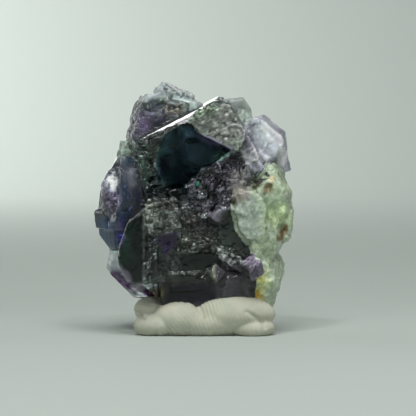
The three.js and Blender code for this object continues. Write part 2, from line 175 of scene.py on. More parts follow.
# Looks: tint (linear), roughness, share of light let through, steepness of the etching
LOOKS = {
    "etched": ((0.22, 0.28, 0.26), 0.14, 0.75, 0.30),
    "pitted": ((0.19, 0.27, 0.23), 0.14, 0.75, 0.36),
    "lower": ((0.15, 0.18, 0.165), 0.11, 0.82, 0.26),
    "smoky": ((0.20, 0.28, 0.24), 0.10, 0.80, 0.16),
    "foot": ((0.12, 0.12, 0.15), 0.10, 0.85, 0.12),
    "violet": ((0.27, 0.29, 0.32), 0.09, 0.76, 0.24),
    "blue": ((0.17, 0.22, 0.29), 0.06, 0.84, 0.07),
    "indigo": ((0.22, 0.23, 0.28), 0.07, 0.80, 0.06),
    "clear": ((0.82, 0.96, 0.97), 0.05, 0.56, 0.10),
    "glittering": ((0.76, 0.92, 0.95), 0.05, 0.56, 0.34),
    "lilac": ((0.62, 0.65, 0.72), 0.11, 0.48, 0.18),
    "pale": ((0.58, 0.66, 0.60), 0.10, 0.50, 0.10),
    "green_chip": ((0.35, 0.45, 0.37), 0.14, 0.60, 0.22),
    "corner": ((0.35, 0.32, 0.41), 0.09, 0.64, 0.24),
    "streaked": ((0.38, 0.42, 0.40), 0.10, 0.60, 0.36),
    "lavender": ((0.36, 0.36, 0.42), 0.12, 0.60, 0.14),
    "green_bit": ((0.40, 0.47, 0.36), 0.12, 0.60, 0.12),
    "lilac_bit": ((0.36, 0.36, 0.36), 0.16, 0.50, 0.22),
    "boss": ((0.28, 0.28, 0.36), 0.06, 0.66, 0.22),
    "mirror": ((0.24, 0.28, 0.27), 0.03, 0.80, 0.00),
    "massive": ((0.42, 0.50, 0.37), 0.30, 0.00, 0.00),
}

# Which points take the places on the front: how squarely they face it (start and gain) and how far back
# they may lie; the wobble of the borders (size, reach, seed); and the share of the roughness on crystal
FACING_START = 0.6
FACING_GAIN = 2.5
FACING_BACK_Y = 5
BORDER_WOBBLE = [(0.9, 0.22, 5), (0.4, 0.14, 6)]
CRYSTAL_ROUGHNESS = 0.6

# Places on the front: tint, roughness, share let through, etching, softness of the border in millimetres,
# and the outline as seen from the front, across and up
FRONT_PLACES = [
    # Main cube: pitted left part, hollow with its colour zones and a painted glint, etched slab
    ((0.13, 0.19, 0.16), 0.11, 0.80, 0.40, 0.6,
     [(-9.4, 26.6), (-4.8, 28.8), (-6.2, 25.5), (-7.0, 22.7), (-6.6, 18.5), (-8.4, 18.1), (-9.6, 23.5)]),
    ((0.12, 0.23, 0.16), 0.10, 0.82, 0.32, 1.0, [(-9.2, 23.2), (-7.6, 23.7), (-7.4, 20.2), (-8.5, 19.3)]),
    ((0.03, 0.06, 0.055), 0.07, 0.92, 0.06, 0.6, [(-8.5, 20.2), (-6.4, 20.9), (-6.0, 18.5), (-8.3, 18.1)]),
    ((0.05, 0.15, 0.19), 0.04, 0.80, 0.02, 0.25,
     [(-6.4, 25.1), (-5.3, 27.4), (-2.5, 29.0), (-1.0, 27.4), (4.1, 24.8), (2.0, 23.5),
      (-0.6, 22.7), (-2.0, 21.3), (-2.8, 19.6), (-3.9, 18.6), (-6.2, 19.5), (-6.7, 21.8)]),
    ((0.25, 0.40, 0.45), 0.05, 0.50, 0.02, 1.6,
     [(-3.2, 26.6), (-0.6, 26.6), (1.1, 26.0), (2.7, 24.9), (1.3, 23.2), (-1.0, 22.8), (-2.6, 24.0)]),
    ((0.015, 0.04, 0.05), 0.05, 0.86, 0.02, 1.2, [(-6.5, 24.2), (-5.0, 24.6), (-4.7, 22.4), (-6.3, 21.6)]),
    # Painted glint: a bright teal-green patch that stands in for light caught at the hollow's right tip
    ((0.40, 0.72, 0.55), 0.08, 0.40, 0.26, 0.8, [(0.9, 24.0), (1.7, 25.1), (3.9, 24.9), (2.4, 23.7)]),
    ((0.46, 0.70, 0.88), 0.08, 0.25, 0.12, 1.0, [(-3.1, 28.3), (-1.4, 28.3), (-1.0, 27.3), (-2.5, 27.0)]),
    ((0.12, 0.34, 0.36), 0.08, 0.82, 0.12, 0.7, [(-6.2, 25.9), (-5.0, 26.3), (-4.8, 25.0), (-6.3, 24.3)]),
    ((0.01, 0.08, 0.055), 0.06, 0.80, 0.03, 1.2, [(-6.6, 21.4), (-5.7, 21.4), (-5.5, 20.2), (-6.2, 19.7)]),
    ((0.28, 0.33, 0.15), 0.10, 0.78, 0.14, 0.5, [(-4.7, 26.2), (-3.9, 26.3), (-4.0, 25.5), (-4.6, 25.5)]),
    ((0.35, 0.41, 0.34), 0.10, 0.52, 0.28, 0.3,
     [(-0.8, 31.2), (3.8, 31.7), (5.9, 27.9), (5.4, 25.6), (4.3, 25.0), (-0.8, 27.5), (-2.4, 29.4)]),
    ((0.30, 0.42, 0.29), 0.12, 0.54, 0.34, 0.8, [(-1.1, 31.2), (1.7, 31.9), (1.8, 30.4), (-1.0, 29.8)]),
    ((0.44, 0.41, 0.60), 0.08, 0.25, 0.06, 0.4,
     [(-0.8, 27.5), (1.7, 26.5), (4.2, 25.1), (1.4, 25.9), (-1.0, 26.9)]),
    # Broken ground on the right of the main cube
    ((0.23, 0.23, 0.28), 0.11, 0.74, 0.46, 0.5,
     [(-2.8, 19.9), (-0.6, 22.4), (2.0, 23.7), (3.9, 24.5), (5.5, 24.1), (6.3, 20.6), (3.6, 17.6),
      (0.1, 16.4), (-2.0, 17.6)]),
    ((0.12, 0.09, 0.16), 0.10, 0.88, 0.40, 0.8, [(0.0, 21.1), (1.7, 21.3), (1.8, 20.0), (0.1, 19.9)]),
    # Painted glint: a small bright green spot that stands in for light caught inside the crystal
    ((0.08, 0.62, 0.36), 0.08, 0.60, 0.20, 0.2, [(-1.2, 20.6), (-0.7, 20.8), (-0.6, 20.3), (-1.1, 20.2)]),
    ((0.40, 0.40, 0.385), 0.18, 0.44, 0.22, 1.0,
     [(3.5, 22.0), (5.7, 22.3), (6.4, 19.9), (6.0, 17.6), (4.1, 17.5), (3.4, 19.9)]),
    # Right corner of the main cube: lilac with a violet band, and the dark lower rim of the hollow
    ((0.75, 0.79, 0.83), 0.11, 0.44, 0.18, 0.6,
     [(5.3, 26.4), (8.4, 26.4), (9.3, 23.6), (6.0, 23.1), (5.2, 24.6)]),
    ((0.52, 0.54, 0.65), 0.11, 0.50, 0.30, 0.6, [(6.0, 23.4), (9.1, 23.8), (8.8, 22.3), (6.2, 22.2)]),
    ((0.02, 0.05, 0.05), 0.06, 0.93, 0.03, 0.4,
     [(-6.7, 20.4), (-3.9, 20.7), (-2.0, 20.2), (-2.2, 18.4), (-4.2, 17.8), (-6.4, 18.4)]),
    # Olive pit at the edge of the massive part
    ((0.08, 0.08, 0.03), 0.12, 0.70, 0.20, 0.5, [(6.5, 21.4), (8.0, 21.3), (7.6, 19.9), (6.7, 19.7)]),
    # Lower cube: smooth left face with a painted glow, ridges, etched part, purple patch, plate, cavity,
    # smooth parts
    ((0.006, 0.014, 0.012), 0.22, 0.55, 0.02, 0.3,
     [(-8.5, 16.9), (-10.5, 15.5), (-12.0, 12.0), (-11.8, 9.0), (-10.6, 6.7), (-8.5, 6.7), (-8.3, 12.2)]),
    # Painted light: a green glow on the smooth left face that stands in for light shining through the
    # crystal's thin edge
    ((0.016, 0.065, 0.045), 0.22, 0.55, 0.02, 2.0,
     [(-11.4, 14.4), (-10.4, 15.0), (-10.2, 10.2), (-11.4, 9.6)]),
    ((0.27, 0.31, 0.26), 0.08, 0.66, 0.60, 0.6,
     [(-9.8, 17.4), (-8.1, 18.8), (-4.5, 18.5), (-3.1, 17.6), (-3.9, 16.7), (-7.6, 16.8), (-9.0, 16.2)]),
    ((0.28, 0.31, 0.29), 0.12, 0.66, 0.34, 0.6,
     [(-8.1, 16.7), (-3.6, 16.7), (-3.5, 13.7), (-5.3, 12.9), (-7.3, 13.4), (-8.1, 14.6)]),
    ((0.14, 0.09, 0.27), 0.06, 0.84, 0.05, 0.4,
     [(-6.9, 13.2), (-3.6, 13.9), (-3.6, 12.3), (-5.3, 10.6), (-6.0, 11.9)]),
    ((0.12, 0.16, 0.145), 0.07, 0.82, 0.42, 0.6,
     [(-8.1, 13.4), (-6.4, 13.2), (-5.9, 9.8), (-7.8, 7.3), (-8.4, 11.5)]),
    ((0.20, 0.23, 0.20), 0.12, 0.78, 0.38, 0.3,
     [(-3.6, 12.9), (-0.6, 14.4), (2.0, 12.9), (2.0, 10.9), (-0.8, 10.9), (-3.4, 10.6)]),
    ((0.21, 0.21, 0.19), 0.10, 0.80, 0.36, 0.3, [(-3.5, 15.8), (-1.7, 16.4), (-0.4, 15.4), (-2.0, 14.6)]),
    ((0.06, 0.13, 0.11), 0.06, 0.94, 0.03, 0.3, [(-3.4, 10.6), (1.1, 11.2), (1.1, 9.0), (-3.1, 8.8)]),
    ((0.12, 0.17, 0.145), 0.07, 0.84, 0.06, 0.5,
     [(2.5, 16.7), (4.2, 16.7), (5.0, 13.9), (6.3, 12.0), (5.9, 10.6), (2.5, 11.2)]),
    # Foot: pale ledge, grey band, dark purple with painted shade under the ledge, paler right part
    ((0.22, 0.27, 0.23), 0.12, 0.82, 0.16, 0.25,
     [(-6.4, 7.0), (-5.6, 7.9), (-4.2, 8.6), (1.1, 9.0), (1.1, 8.5), (-3.9, 8.1), (-5.1, 7.5),
      (-5.9, 6.7)]),
    ((0.14, 0.17, 0.15), 0.10, 0.88, 0.08, 0.5, [(-5.3, 7.8), (1.1, 8.5), (1.4, 6.8), (-5.0, 6.5)]),
    # Dark purple of the foot, darkened further as painted shade of the undercut below the ledge
    ((0.03, 0.018, 0.07), 0.08, 0.90, 0.06, 0.6,
     [(-5.6, 5.0), (-4.6, 6.0), (-3.4, 6.6), (-0.2, 6.7), (1.2, 6.0), (1.9, 4.9), (1.7, 4.2), (-5.4, 4.2)]),
    ((0.21, 0.21, 0.23), 0.11, 0.78, 0.14, 0.5,
     [(1.7, 9.2), (6.2, 9.5), (6.7, 6.7), (6.4, 4.6), (1.7, 4.6)]),
    ((0.36, 0.42, 0.38), 0.10, 0.60, 0.46, 0.5, [(1.8, 11.5), (4.8, 11.5), (6.0, 9.5), (2.8, 9.0)]),
    ((0.20, 0.18, 0.065), 0.16, 0.80, 0.20, 0.8, [(-8.3, 6.2), (-5.3, 6.3), (-5.6, 4.3), (-7.8, 4.3)]),
    # Clear crystal at the lower left: lilac edge and the phantom's purple line
    ((0.44, 0.42, 0.51), 0.06, 0.70, 0.05, 0.8,
     [(-14.6, 9.8), (-12.5, 10.2), (-10.4, 7.8), (-9.6, 5.2), (-12.0, 6.0)]),
    ((0.14, 0.035, 0.20), 0.06, 0.30, 0.04, 0.3,
     [(-13.8, 8.7), (-12.0, 7.5), (-10.2, 6.3), (-10.3, 5.9), (-12.1, 7.0)]),
    # Left group: etched oval facet with a painted highlight, blue and violet parts
    ((0.30, 0.32, 0.42), 0.07, 0.62, 0.34, 0.5,
     [(-14.0, 21.8), (-12.6, 22.4), (-11.6, 20.7), (-11.5, 17.9), (-12.6, 16.2), (-13.9, 17.6)]),
    # Painted highlight: the white glint at the top of the oval facet
    ((0.78, 0.82, 0.82), 0.05, 0.20, 0.34, 0.4,
     [(-13.5, 21.9), (-12.5, 22.5), (-12.0, 20.8), (-12.3, 19.5), (-13.1, 19.7)]),
    ((0.32, 0.27, 0.39), 0.06, 0.72, 0.30, 0.7,
     [(-14.0, 19.4), (-12.0, 19.4), (-11.9, 17.2), (-13.0, 16.4), (-14.0, 17.6)]),
    ((0.26, 0.31, 0.32), 0.05, 0.60, 0.10, 0.4,
     [(-13.0, 24.8), (-10.8, 24.7), (-10.6, 23.8), (-12.6, 23.6)]),
    ((0.57, 0.59, 0.70), 0.07, 0.50, 0.09, 1.8,
     [(-10.9, 23.4), (-9.6, 22.8), (-9.0, 20.4), (-9.8, 19.8), (-10.8, 21.4)]),
    ((0.26, 0.28, 0.32), 0.07, 0.76, 0.05, 0.9, [(-10.4, 20.0), (-9.0, 20.2), (-8.6, 17.0), (-10.0, 15.6)]),
    ((0.06, 0.14, 0.29), 0.06, 0.62, 0.05, 0.8,
     [(-15.0, 16.0), (-12.3, 15.4), (-11.2, 14.0), (-12.0, 11.8), (-14.0, 12.0), (-15.0, 13.4)]),
    ((0.30, 0.26, 0.58), 0.07, 0.74, 0.05, 0.6,
     [(-12.2, 15.1), (-11.2, 15.4), (-10.9, 12.9), (-11.8, 11.8), (-12.5, 12.9)]),
    # Upper left: speckled band, pale step, purple zone, dark zone with painted shade, brown corner, pale
    # facet over green
    ((0.27, 0.30, 0.29), 0.08, 0.68, 0.36, 0.6, [(-10.0, 31.9), (-5.5, 32.0), (-5.5, 30.8), (-10.0, 30.8)]),
    ((0.50, 0.55, 0.57), 0.06, 0.55, 0.08, 0.3, [(-8.4, 30.9), (-5.9, 30.6), (-5.8, 30.2), (-8.3, 30.3)]),
    ((0.27, 0.23, 0.34), 0.06, 0.64, 0.20, 1.6, [(-9.5, 30.2), (-7.4, 30.2), (-7.2, 28.0), (-9.4, 27.6)]),
    # Painted shade: the darker middle of the upper left crystal, over its dark green-slate tone
    ((0.09, 0.11, 0.11), 0.06, 0.78, 0.18, 1.6, [(-7.3, 29.8), (-5.4, 29.8), (-4.8, 28.6), (-7.2, 27.7)]),
    ((0.38, 0.36, 0.29), 0.07, 0.66, 0.46, 0.6, [(-5.4, 31.9), (-2.4, 32.0), (-2.3, 30.6), (-5.3, 30.2)]),
    ((0.48, 0.56, 0.57), 0.05, 0.46, 0.10, 0.4, [(-8.9, 33.9), (-5.8, 34.3), (-5.2, 33.0), (-8.5, 32.4)]),
    ((0.20, 0.28, 0.22), 0.08, 0.78, 0.08, 0.4,
     [(-9.0, 32.1), (-8.4, 32.2), (-5.4, 32.7), (-5.4, 31.5), (-8.8, 31.2)]),
    # Lilac cube: white middle, purple edge, and a painted highlight at its lower right corner
    ((0.43, 0.43, 0.50), 0.11, 0.46, 0.22, 1.2,
     [(5.6, 29.8), (8.6, 30.0), (7.6, 27.2), (7.0, 24.2), (5.4, 25.6)]),
    ((0.78, 0.90, 0.92), 0.12, 0.34, 0.17, 1.8,
     [(7.8, 28.8), (9.4, 29.1), (10.6, 27.2), (10.1, 24.6), (8.3, 24.0), (7.4, 26.0)]),
    ((0.22, 0.16, 0.36), 0.08, 0.62, 0.05, 0.5, [(10.2, 29.2), (11.4, 28.4), (12.3, 26.0), (11.3, 26.3)]),
    # Painted highlight: the white corner at the lower right of the lilac cube
    ((0.94, 0.97, 0.97), 0.06, 0.05, 0.08, 0.4, [(10.7, 25.6), (11.8, 25.6), (11.5, 23.3), (10.7, 23.5)]),
]

# Colours of the massive green fluorite seen from the front: tint, softness, outline
MASSIVE_PLACES = [
    ((0.48, 0.58, 0.44), 1.4, [(6.7, 19.0), (9.5, 19.9), (10.1, 17.6), (8.1, 16.2), (6.4, 17.4)]),
    ((0.55, 0.68, 0.40), 1.4, [(8.7, 17.6), (11.5, 17.9), (12.0, 15.4), (10.1, 14.6), (8.7, 15.7)]),
    ((0.37, 0.44, 0.38), 0.5,
     [(4.2, 16.7), (5.0, 19.0), (7.0, 19.0), (7.6, 15.7), (7.7, 13.4), (6.2, 12.3), (4.9, 14.0)]),
    ((0.33, 0.31, 0.28), 0.9, [(3.4, 20.8), (6.3, 20.6), (6.5, 18.8), (5.4, 17.9), (3.6, 17.9)]),
    ((0.15, 0.09, 0.03), 0.6, [(11.2, 15.2), (11.9, 14.9), (11.0, 12.6), (10.1, 12.7)]),
    ((0.78, 0.85, 0.46), 1.0, [(7.3, 8.4), (8.7, 8.7), (9.0, 6.2), (7.6, 5.6)]),
    ((0.92, 0.66, 0.13), 0.5, [(7.4, 8.3), (8.0, 8.3), (8.2, 7.0), (7.6, 6.8)]),
    ((0.60, 0.60, 0.26), 1.0, [(6.4, 5.9), (8.1, 5.9), (8.1, 4.2), (6.4, 4.2)]),
    ((0.62, 0.44, 0.09), 0.5, [(6.4, 5.9), (6.9, 5.9), (8.1, 5.2), (8.2, 4.6), (6.6, 4.8)]),
    ((0.05, 0.06, 0.025), 0.7, [(6.4, 21.3), (7.8, 21.3), (8.0, 19.9), (6.7, 19.7)]),
    ((0.50, 0.44, 0.27), 0.4, [(8.8, 21.7), (9.7, 21.7), (9.8, 20.8), (8.9, 20.7)]),
    ((0.20, 0.18, 0.09), 0.7, [(8.1, 20.4), (9.5, 20.7), (9.5, 19.2), (8.3, 19.0)]),
]

# Massive fluorite: middle and radii; the tongue of it on the front: outline, margin, how far back it goes
LUMPS = [
    ((8.2, 0.4, 19.6), (3.8, 6.4, 4.6)),
    ((9.8, 0.8, 16.4), (2.7, 5.6, 4.2)),
    ((7.9, 0.3, 12.6), (3.1, 6.2, 4.6)),
    ((8.4, 0.4, 8.2), (2.7, 5.4, 3.6)),
    ((7.4, 0.2, 5.8), (2.9, 4.6, 2.6)),
    ((6.2, 5.4, 20.6), (5.0, 4.2, 5.6)),
    ((1.6, 6.0, 9.0), (6.6, 3.6, 4.4)),
    ((0.6, 5.2, 27.0), (5.2, 4.4, 4.6)),
]
TONGUE = [
    (4.2, 20.0), (3.9, 17.0), (4.5, 14.2), (5.9, 12.3), (7.2, 12.3), (7.3, 10.2), (8.7, 10.2), (8.8, 14.0),
    (9.0, 17.0), (8.2, 20.0),
]
TONGUE_MARGIN = 0.2
TONGUE_BACK_Y = -4.4

# Lobes of the putty pad: middle and radii
PUTTY_LOBES = [
    ((0, -0.4, 1.7), (9.0, 7.4, 3.1)),
    ((4.2, -4.0, 2.9), (5.7, 3.9, 2.55)),
    ((-3.3, -4.4, 2.2), (4.0, 3.6, 2.6)),
    ((-6.7, -4.2, 1.3), (3.1, 3.5, 1.9)),
    ((-7.5, -1.6, 3.3), (2.3, 3.2, 1.8)),
    ((6.7, -4.5, 1.0), (3.1, 3.3, 1.6)),
    ((-3.4, 3.8, 2.2), (5.4, 4.0, 2.9)),
    ((4.6, 3.6, 2.3), (5.0, 3.9, 2.9)),
]


def lattice(cell, seed):
    """A repeatable number from 0 to 1 for each whole-number place."""
    c = cell.astype(np.int64).astype(np.uint32)
    mixed = c[:, 0] * np.uint32(374761393) ^ c[:, 1] * np.uint32(668265263)
    mixed = mixed ^ (c[:, 2] * np.uint32(2246822519) + np.uint32(seed * 40503 % 4294967296))
    mixed = (mixed ^ (mixed >> np.uint32(13))) * np.uint32(1274126177)
    mixed = mixed ^ (mixed >> np.uint32(16))
    return mixed.astype(float) / 4294967296.0


def noise(points, size, seed):
    """Smooth noise from -1 to 1 with features of about the given size."""
    scaled = points / size
    cell = np.floor(scaled)
    part = scaled - cell
    part = part * part * (3 - 2 * part)
    total = np.zeros(len(points))
    for corner in np.ndindex(2, 2, 2):
        weight = np.ones(len(points))
        for axis in range(3):
            weight *= part[:, axis] if corner[axis] else 1 - part[:, axis]
        total += weight * lattice(cell + np.array(corner), seed)
    return total * 2 - 1


def facets(points, size, seed):
    """Heights of small flat facets at odd tilts, squarish in outline, in shares of their size."""
    scaled = points / size
    base = np.floor(scaled)
    near = np.full(len(points), 9.0)
    height = np.zeros(len(points))
    for corner in np.ndindex(3, 3, 3):
        cell = base + np.array(corner) - 1
        away = scaled - cell - np.stack([lattice(cell, seed + k) for k in (1, 2, 3)], 1)
        reach = np.abs(away).max(1)
        lean = np.stack([lattice(cell, seed + k) for k in (4, 5, 6)], 1) * 2 - 1
        rise = 0.4 * (lattice(cell, seed + 7) * 2 - 1) + (lean * away).sum(1)
        closer = reach < near
        near = np.where(closer, reach, near)
        height = np.where(closer, rise, height)
    return height


def noise_layers(points, layers):
    """Smooth noise of several sizes: size, share and seed of each layer."""
    return sum(share * noise(points, size, seed) for size, share, seed in layers)


def turned(turn):
    """The turning matrix of a crystal from its tilt, roll and yaw."""
    tilt, roll, yaw = (math.radians(v) for v in turn)
    spin = Matrix.Rotation(yaw, 3, "Z") @ Matrix.Rotation(tilt, 3, "X") @ Matrix.Rotation(roll, 3, "Y")
    return np.array(spin)


def box_distance(points, at, size, turn):
    """Distance from the surface of a turned box, negative inside, and the points in its own frame."""
    local = (points - np.array(at)) @ turned(turn)
    over = np.abs(local) - np.array(size) / 2
    outside = np.linalg.norm(np.maximum(over, 0), axis=1)
    return outside + np.minimum(over.max(1), 0), local


def lump_distance(points, at, radii):
    """About how far a point is from the surface of a rounded lump."""
    share = np.linalg.norm((points - np.array(at)) / np.array(radii), axis=1)
    return (share - 1) * np.mean(radii)


def line_distance(route, across, up):
    """Distance from a line through the given points in the front view."""
    away = np.full(len(across), FAR)
    for (ax, az), (bx, bz) in zip(route, route[1:]):
        dx, dz = bx - ax, bz - az
        along = np.clip(((across - ax) * dx + (up - az) * dz) / (dx * dx + dz * dz), 0, 1)
        away = np.minimum(away, np.hypot(across - ax - along * dx, up - az - along * dz))
    return away


def depth_inside(outline, across, up):
    """Distance from an outline in the front view, positive inside it."""
    ring = outline + outline[:1]
    away = line_distance(ring, across, up)
    inside = np.zeros(len(across), bool)
    for (ax, az), (bx, bz) in zip(ring, ring[1:]):
        if az != bz:
            inside ^= ((az > up) != (bz > up)) & (across < (bx - ax) * (up - az) / (bz - az) + ax)
    return np.where(inside, away, -away)


def neighbour_means(values, triangles):
    """The mean of a value over each point's neighbours."""
    pairs = np.vstack([triangles[:, [0, 1]], triangles[:, [1, 2]], triangles[:, [2, 0]]])
    point, neighbour = pairs.T
    count = np.bincount(point, minlength=len(values))
    total = [np.bincount(point, column[neighbour], len(values)) for column in values.T]
    return np.stack(total, 1) / count[:, None]


def relaxed(points, triangles, share, rounds):
    """Draws each point toward the middle of its neighbours, which wears edges round."""
    for _ in range(rounds):
        points = points + share[:, None] * (neighbour_means(points, triangles) - points)
    return points


def edge_strength(points, triangles):
    """How sharply the surface bends at each point: above 0 on ridges and edges, below 0 in creases."""
    away = points - neighbour_means(points, triangles)
    bend = (away * normals_of(points, triangles)).sum(1, keepdims=True) / EDGE_BEND
    bend = (bend + neighbour_means(bend, triangles)) / 2
    return np.clip(bend[:, 0], -1, 1)


def normals_of(points, triangles):
    """The direction that the surface faces at each point."""
    corners = points[triangles]
    face = np.cross(corners[:, 1] - corners[:, 0], corners[:, 2] - corners[:, 0])
    total = np.stack([
        sum(np.bincount(triangles[:, k], face[:, axis], len(points)) for k in range(3)) for axis in range(3)
    ], 1)
    return total / np.maximum(np.linalg.norm(total, axis=1, keepdims=True), 1e-12)


def even_skin(solid, edge):
    """A solid's surface in small even faces: points in millimetres and triangles."""
    mesh = solid.data.copy()
    mesh.transform(Matrix.Scale(1 / MM, 4))
    copy = bpy.data.objects.new("even_copy", mesh)
    bpy.context.scene.collection.objects.link(copy)
    remesh = copy.modifiers.new("even", "REMESH")
    remesh.mode = "VOXEL"
    remesh.voxel_size = edge
    remesh.adaptivity = 0
    made = bpy.data.meshes.new_from_object(copy.evaluated_get(bpy.context.evaluated_depsgraph_get()))
    made.calc_loop_triangles()
    points = np.empty(len(made.vertices) * 3)
    made.vertices.foreach_get("co", points)
    triangles = np.empty(len(made.loop_triangles) * 3, np.int32)
    made.loop_triangles.foreach_get("vertices", triangles)
    bpy.data.objects.remove(copy)
    bpy.data.meshes.remove(made)
    bpy.data.meshes.remove(mesh)
    return points.reshape(-1, 3), triangles.reshape(-1, 3)


def piece(name, points, triangles, materials, smooth, indices=None):
    """An object from points in millimetres, shaded smooth up to the given angle in degrees."""
    mesh = bpy.data.meshes.new(name)
    mesh.from_pydata((points * MM).tolist(), [], triangles.tolist())
    for material in materials:
        mesh.materials.append(material)
    if indices is not None:
        mesh.polygons.foreach_set("material_index", indices.astype(np.int32))
    obj = bpy.data.objects.new(name, mesh)
    bpy.context.scene.collection.objects.link(obj)
    mesh.polygons.foreach_set("use_smooth", np.ones(len(mesh.polygons), bool))
    if smooth < 180:
        mesh.set_sharp_from_angle(angle=math.radians(smooth))
    mesh.update()
    return obj


# The cluster's skin: the cluster's own shape, refined and worn, with etching and growth steps on it
points, triangles = even_skin(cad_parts["fluorite_cluster"], SKIN_EDGE)

nearest = np.full(len(points), FAR)
local = np.zeros_like(points)
tint = np.zeros_like(points)
finish = np.zeros((len(points), 3))


def take_look(chosen, look):
    """Gives the chosen points the tint, roughness, clearness and etching of a look."""
    tint[chosen] = LOOKS[look][0]
    finish[chosen] = LOOKS[look][1:]


for at, size, turn, look in CRYSTALS.values():
    far, own = box_distance(points, at, size, turn)
    far = np.abs(far)
    closer = far < nearest
    nearest[closer] = far[closer]
    local[closer] = own[closer]
    take_look(closer, look)

far = np.abs(lump_distance(points, *BOSS))
closer = far < nearest
nearest[closer] = far[closer]
local[closer] = points[closer]
take_look(closer, "boss")

across = points[:, 0]
up = points[:, 2] + math.tan(CAMERA_RISE) * points[:, 1]
lump_far = np.min([np.abs(lump_distance(points, at, radii)) for at, radii in LUMPS], axis=0)
massive = lump_far < nearest
massive |= (depth_inside(TONGUE, across, up) > -TONGUE_MARGIN) & (points[:, 1] < TONGUE_BACK_Y)
take_look(massive, "massive")

points = relaxed(points, triangles, np.where(massive, MASSIVE_WEAR, CRYSTAL_WEAR), WEAR_ROUNDS)

# The main cube's upper face and the bevel at its front are smooth as glass
at, size, turn, _ = CRYSTALS["main_cube"]
cube_turn = turned(turn)
far, own = box_distance(points, at, size, turn)
slope = math.radians(BEVEL_SLOPE)
out = np.array([0, -math.cos(slope), math.sin(slope)])
width = np.interp(own[:, 0], *zip(*BEVEL_WIDTHS))
rise = np.where(own[:, 0] > SLAB_START, SLAB_RISE, 0)
over = (np.abs(own[:, 1:]) - np.array(size[1:]) / 2) @ np.abs(out[1:]) - rise * math.cos(slope)
over += width * math.sin(slope) * math.cos(slope)
near_edge = (own[:, 1] < 0) & (own[:, 2] > 0) & (np.abs(own[:, 0]) < size[0] / 2)
near_edge &= (far > -BEVEL_IN) & (far < BEVEL_OUT + rise)
bevel = near_edge & (over > 0)
points[bevel] -= over[bevel, None] * (cube_turn @ out)
normal = normals_of(points, triangles)
jagged = depth_inside(BEVEL_GLASS, across, up) + JAG_DEPTH * facets(own * [1, 0, 0], JAG_SIZE, JAG_SEED)
upper_face = ((normal @ cube_turn)[:, 2] > FACE_SQUARE) & (np.abs(own[:, 2] - size[2] / 2) < FACE_NEAR)
mirror = (upper_face | bevel & (jagged > 0)) & ~massive
take_look(mirror, "mirror")

facing = np.clip(FACING_START - FACING_GAIN * normal[:, 1], 0, 1) * (points[:, 1] < FACING_BACK_Y)
wobble = noise_layers(points, BORDER_WOBBLE)


def share_of(outline, soft, hold):
    """How much of a front place's look each point takes."""
    return np.clip(0.5 + (depth_inside(outline, across, up) + wobble) / soft, 0, 1) * facing * hold


for colour, rough, through, steep, soft, outline in FRONT_PLACES:
    share = share_of(outline, soft, ~massive & ~mirror)[:, None]
    tint += share * (np.array(colour) - tint)
    finish += share * (np.array([rough, through, steep]) - finish)
for colour, soft, outline in MASSIVE_PLACES:
    share = share_of(outline, soft, massive)[:, None]
    tint += share * (np.array(colour) - tint)

# Etching on the crystals, lumps and chips on the massive fluorite, and the shell-shaped break
etch = finish[:, 2]
finish[:, 0] *= np.where(massive, 1, CRYSTAL_ROUGHNESS)
drift = np.stack([noise(points, DRIFT_SIZE, seed) for seed in DRIFT_SEEDS], 1)
local = local + DRIFT_REACH * drift
step = sum(share * size * facets(local, size, seed) for size, share, seed in FACET_SIZES)
lumpy = LUMP_HEIGHT * noise_layers(points, MASSIVE_LUMPS)
chipped = sum(share * facets(points, size, seed) for size, share, seed in MASSIVE_CHIPS)
height = np.where(massive, lumpy + chipped, etch * (step - ETCH_DEPTH))
shell = np.hypot(across - SHELL_MIDDLE[0], up - SHELL_MIDDLE[1])
upper_right = np.clip(0.5 + (across - SHELL_MIDDLE[0] + up - SHELL_MIDDLE[1]) / SHELL_FADE, 0, 1)
for radius in SHELL_RADII:
    ripple = np.exp(-((shell - radius) / SHELL_WIDTH) ** 2)
    height += SHELL_RISE * ripple * upper_right * facing * ~massive
points = points + normal * height[:, None]

# Painted highlight and painted shade: edges and ridges are painted paler than the faces and made less clear
# where etched, and creases are painted darker
edge = edge_strength(points, triangles)
creased = np.clip(ETCHED_CREASE * etch, 0, 1)
edge_highlight = np.where(massive, MASSIVE_EDGE_HIGHLIGHT, np.clip(SMOOTH_EDGE_HIGHLIGHT + ETCHED_EDGE_HIGHLIGHT * etch, 0, 1)) * EDGE_HIGHLIGHT_GAIN
crease_shade = np.where(massive, MASSIVE_CREASE_SHADE, creased) * CREASE_SHADE_LOSS
tint = tint * (1 + np.where(edge > 0, edge_highlight, crease_shade) * edge)[:, None]
finish[:, 1] *= 1 - EDGE_FROST * creased * np.maximum(edge, 0)

# Colour comes and goes in clouds, a little to purple or to green
cloudy = np.where(massive, MASSIVE_CLOUD, CRYSTAL_CLOUD) * noise_layers(points, CLOUDS)
leaning = noise(points, LEAN_SIZE, LEAN_SEED)[:, None] * np.array(LEAN_COLOUR)
tint = tint * np.exp(cloudy)[:, None] * (1 + leaning * ~massive[:, None])
tint = np.clip(tint, 0, PALEST)

FLUORITE_IOR = 1.434
# Mottling: the etching at which it starts, its gain, and the paleness at which it ends
MOTTLE_START = 0.11
MOTTLE_GAIN = 3.4
MOTTLE_END = 1.05
# Swing of the roughness from spot to spot, and the least roughness
ROUGH_SWING = 0.06
ROUGH_LEAST = 0.02


def sockets(node, **values):
    """Sets a node's inputs, named with underscores for spaces."""
    for key, value in values.items():
        node.inputs[key.replace("_", " ")].default_value = value


def new_material(name):
    material = bpy.data.materials.new(name)
    material.use_nodes = True
    tree = material.node_tree
    return material, tree, tree.nodes["Principled BSDF"]


def place_node(tree):
    return tree.nodes.new("ShaderNodeTexCoord").outputs["Object"]


def attribute_node(tree, name):
    node = tree.nodes.new("ShaderNodeAttribute")
    node.attribute_name = name
    return node.outputs


